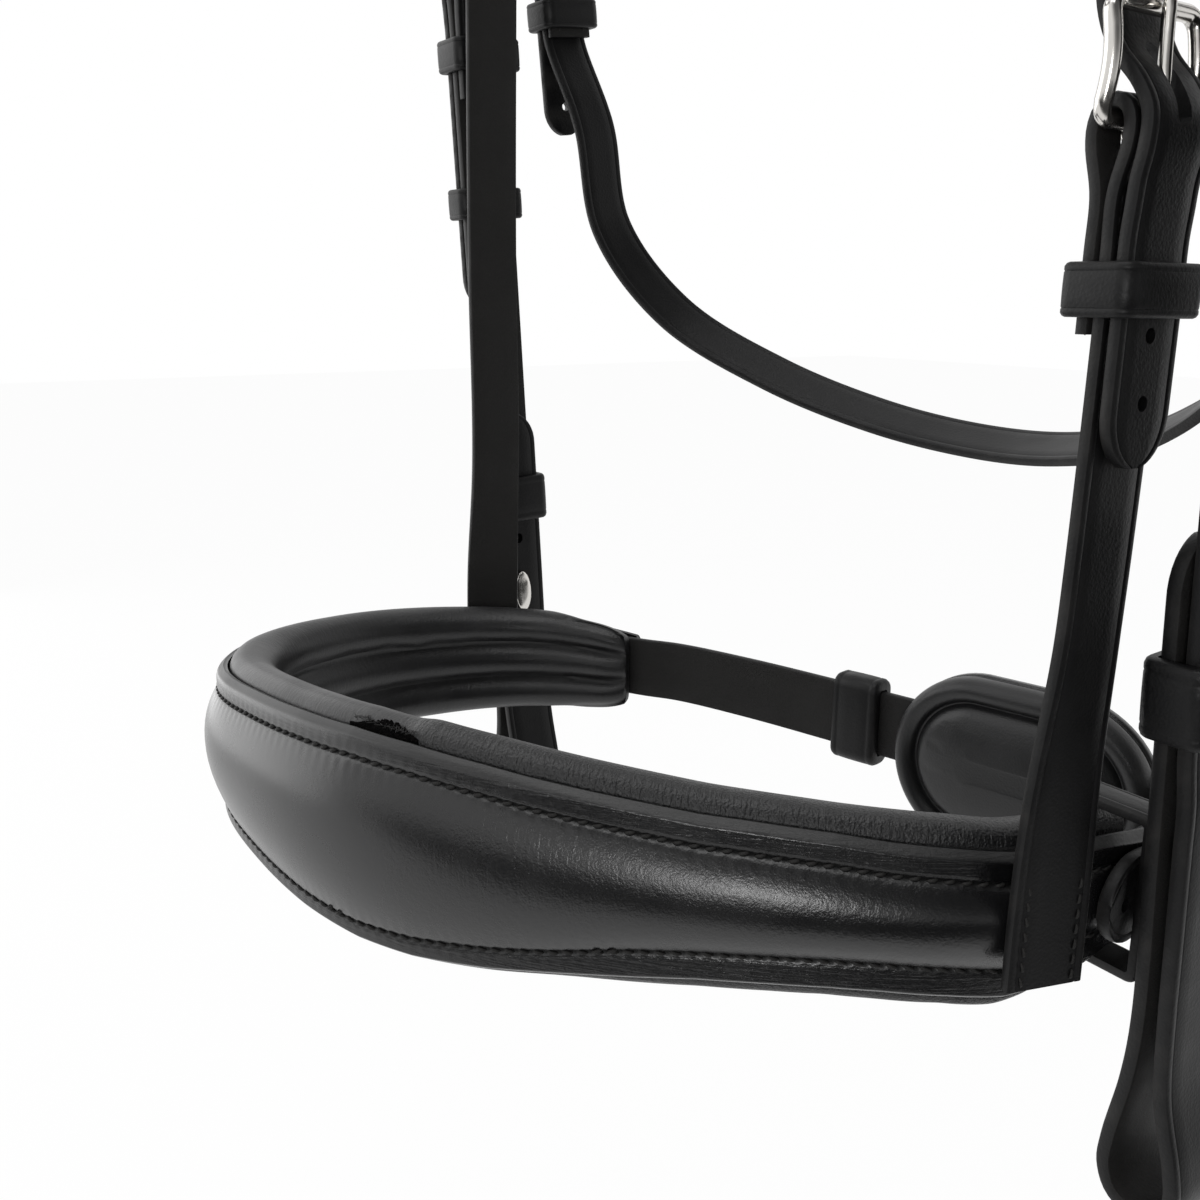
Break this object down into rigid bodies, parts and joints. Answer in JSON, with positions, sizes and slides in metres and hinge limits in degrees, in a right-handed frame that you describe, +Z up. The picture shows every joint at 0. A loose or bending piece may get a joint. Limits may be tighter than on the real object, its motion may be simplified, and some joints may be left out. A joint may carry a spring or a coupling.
{
  "type": "riding bridle",
  "caption": "Black leather riding bridle with a padded, raised noseband, chin pad, browband, headpiece, throatlash and buckled cheekpieces, hanging empty.",
  "frame": {"origin": "lowest point of the noseband's head strap under the poll, where a hook or peg carries the bridle", "axes": "+Z up along the hanging straps, -Y towards the horse's nose, +X to the horse's near (left) side"},
  "size_m": [0.2436, 0.1964, 0.4172],
  "materials": {
    "strap_leather": "semi-gloss",
    "smooth_leather": "gloss",
    "soft_leather": "matte",
    "filler": "matte",
    "steel": "polished"
  },
  "bodies": {
    "headstall": {"billet_keeper_near": "strap_leather", "billet_keeper_off": "strap_leather", "browband_leather": "smooth_leather", "browband_loop_near": "strap_leather", "browband_loop_off": "strap_leather", "browband_padding": "soft_leather", "cheek_buckle_near_frame": "steel", "cheek_buckle_off_frame": "steel", "cheek_keeper_near": "strap_leather", "cheek_keeper_off": "strap_leather", "cheekpiece_near": "strap_leather", "cheekpiece_off": "strap_leather", "chin_buckle_chape": "strap_leather", "chin_buckle_frame": "steel", "chin_strap": "strap_leather", "chin_tail_keeper": "strap_leather", "hanger_buckle_frame": "steel", "hanger_keeper": "strap_leather", "headpiece": "strap_leather", "headpiece_padding": "soft_leather", "hook_stud_near": "steel", "hook_stud_off": "steel", "noseband_filler": "filler", "noseband_front_leather": "smooth_leather", "noseband_hanger_near": "strap_leather", "noseband_headstrap": "strap_leather", "noseband_padding": "soft_leather", "throatlash": "strap_leather", "throatlash_buckle_near_frame": "steel", "throatlash_buckle_off_frame": "steel", "throatlash_keeper_near": "strap_leather", "throatlash_keeper_off": "strap_leather"},
    "cheek_tongue_near": {"cheek_buckle_near_tongue": "steel"},
    "cheek_tongue_off": {"cheek_buckle_off_tongue": "steel"},
    "throat_tongue_near": {"throatlash_buckle_near_tongue": "steel"},
    "throat_tongue_off": {"throatlash_buckle_off_tongue": "steel"},
    "hanger_tongue": {"hanger_buckle_tongue": "steel"},
    "chin_tongue": {"chin_buckle_tongue": "steel"},
    "chin_roller": {"chin_buckle_roller": "steel"},
    "runner_near": {"cheek_runner_near": "strap_leather"},
    "runner_off": {"cheek_runner_off": "strap_leather"},
    "chin_runner": {"chin_strap_runner": "strap_leather"},
    "chin_pad": {"chin_pad_backing": "smooth_leather", "chin_pad_cushion": "soft_leather", "chin_pad_loop_near": "strap_leather", "chin_pad_loop_off": "strap_leather"}
  },
  "joints": [
    {"name": "cheek_tongue_near_pivot", "type": "hinge", "parent": "headstall", "child": "cheek_tongue_near", "pos_m": [0.1135, -0.006, -0.1556], "axis": [0, 0.9982, 0.0599], "range_deg": [0, 28]},
    {"name": "cheek_tongue_off_pivot", "type": "hinge", "parent": "headstall", "child": "cheek_tongue_off", "pos_m": [-0.1135, -0.006, -0.1556], "axis": [0, -0.9982, -0.0599], "range_deg": [0, 28]},
    {"name": "throat_tongue_near_pivot", "type": "hinge", "parent": "headstall", "child": "throat_tongue_near", "pos_m": [0.1085, 0.018, -0.1456], "axis": [0, 0.995, 0.0995], "range_deg": [0, 28]},
    {"name": "throat_tongue_off_pivot", "type": "hinge", "parent": "headstall", "child": "throat_tongue_off", "pos_m": [-0.1085, 0.018, -0.1456], "axis": [0, -0.995, -0.0995], "range_deg": [0, 28]},
    {"name": "hanger_tongue_pivot", "type": "hinge", "parent": "headstall", "child": "hanger_tongue", "pos_m": [0.101, -0.012, -0.2176], "axis": [0, 0.9999, -0.012], "range_deg": [0, 20]},
    {"name": "chin_tongue_pivot", "type": "hinge", "parent": "headstall", "child": "chin_tongue", "pos_m": [0.0992, 0.02315, -0.3456], "axis": [0, 0, -1], "range_deg": [0, 28]},
    {"name": "chin_roller_spin", "type": "hinge", "parent": "headstall", "child": "chin_roller", "pos_m": [0.09959, 0.03914, -0.3456], "axis": [0, 0, 1], "continuous": true},
    {"name": "runner_near_slide", "type": "slide", "parent": "headstall", "child": "runner_near", "axis": [0, -0.0599, 0.9982], "range_m": [-0.04, 0.022]},
    {"name": "runner_off_slide", "type": "slide", "parent": "headstall", "child": "runner_off", "axis": [0, -0.0599, 0.9982], "range_m": [-0.04, 0.022]},
    {"name": "chin_runner_slide", "type": "slide", "parent": "headstall", "child": "chin_runner", "axis": [-0.9757, -0.2192, 0], "range_m": [-0.004, 0.01]},
    {"name": "chin_pad_slide", "type": "slide", "parent": "headstall", "child": "chin_pad", "axis": [-0.9781, -0.2081, 0], "range_m": [-0.001, 0.004]}
  ]
}
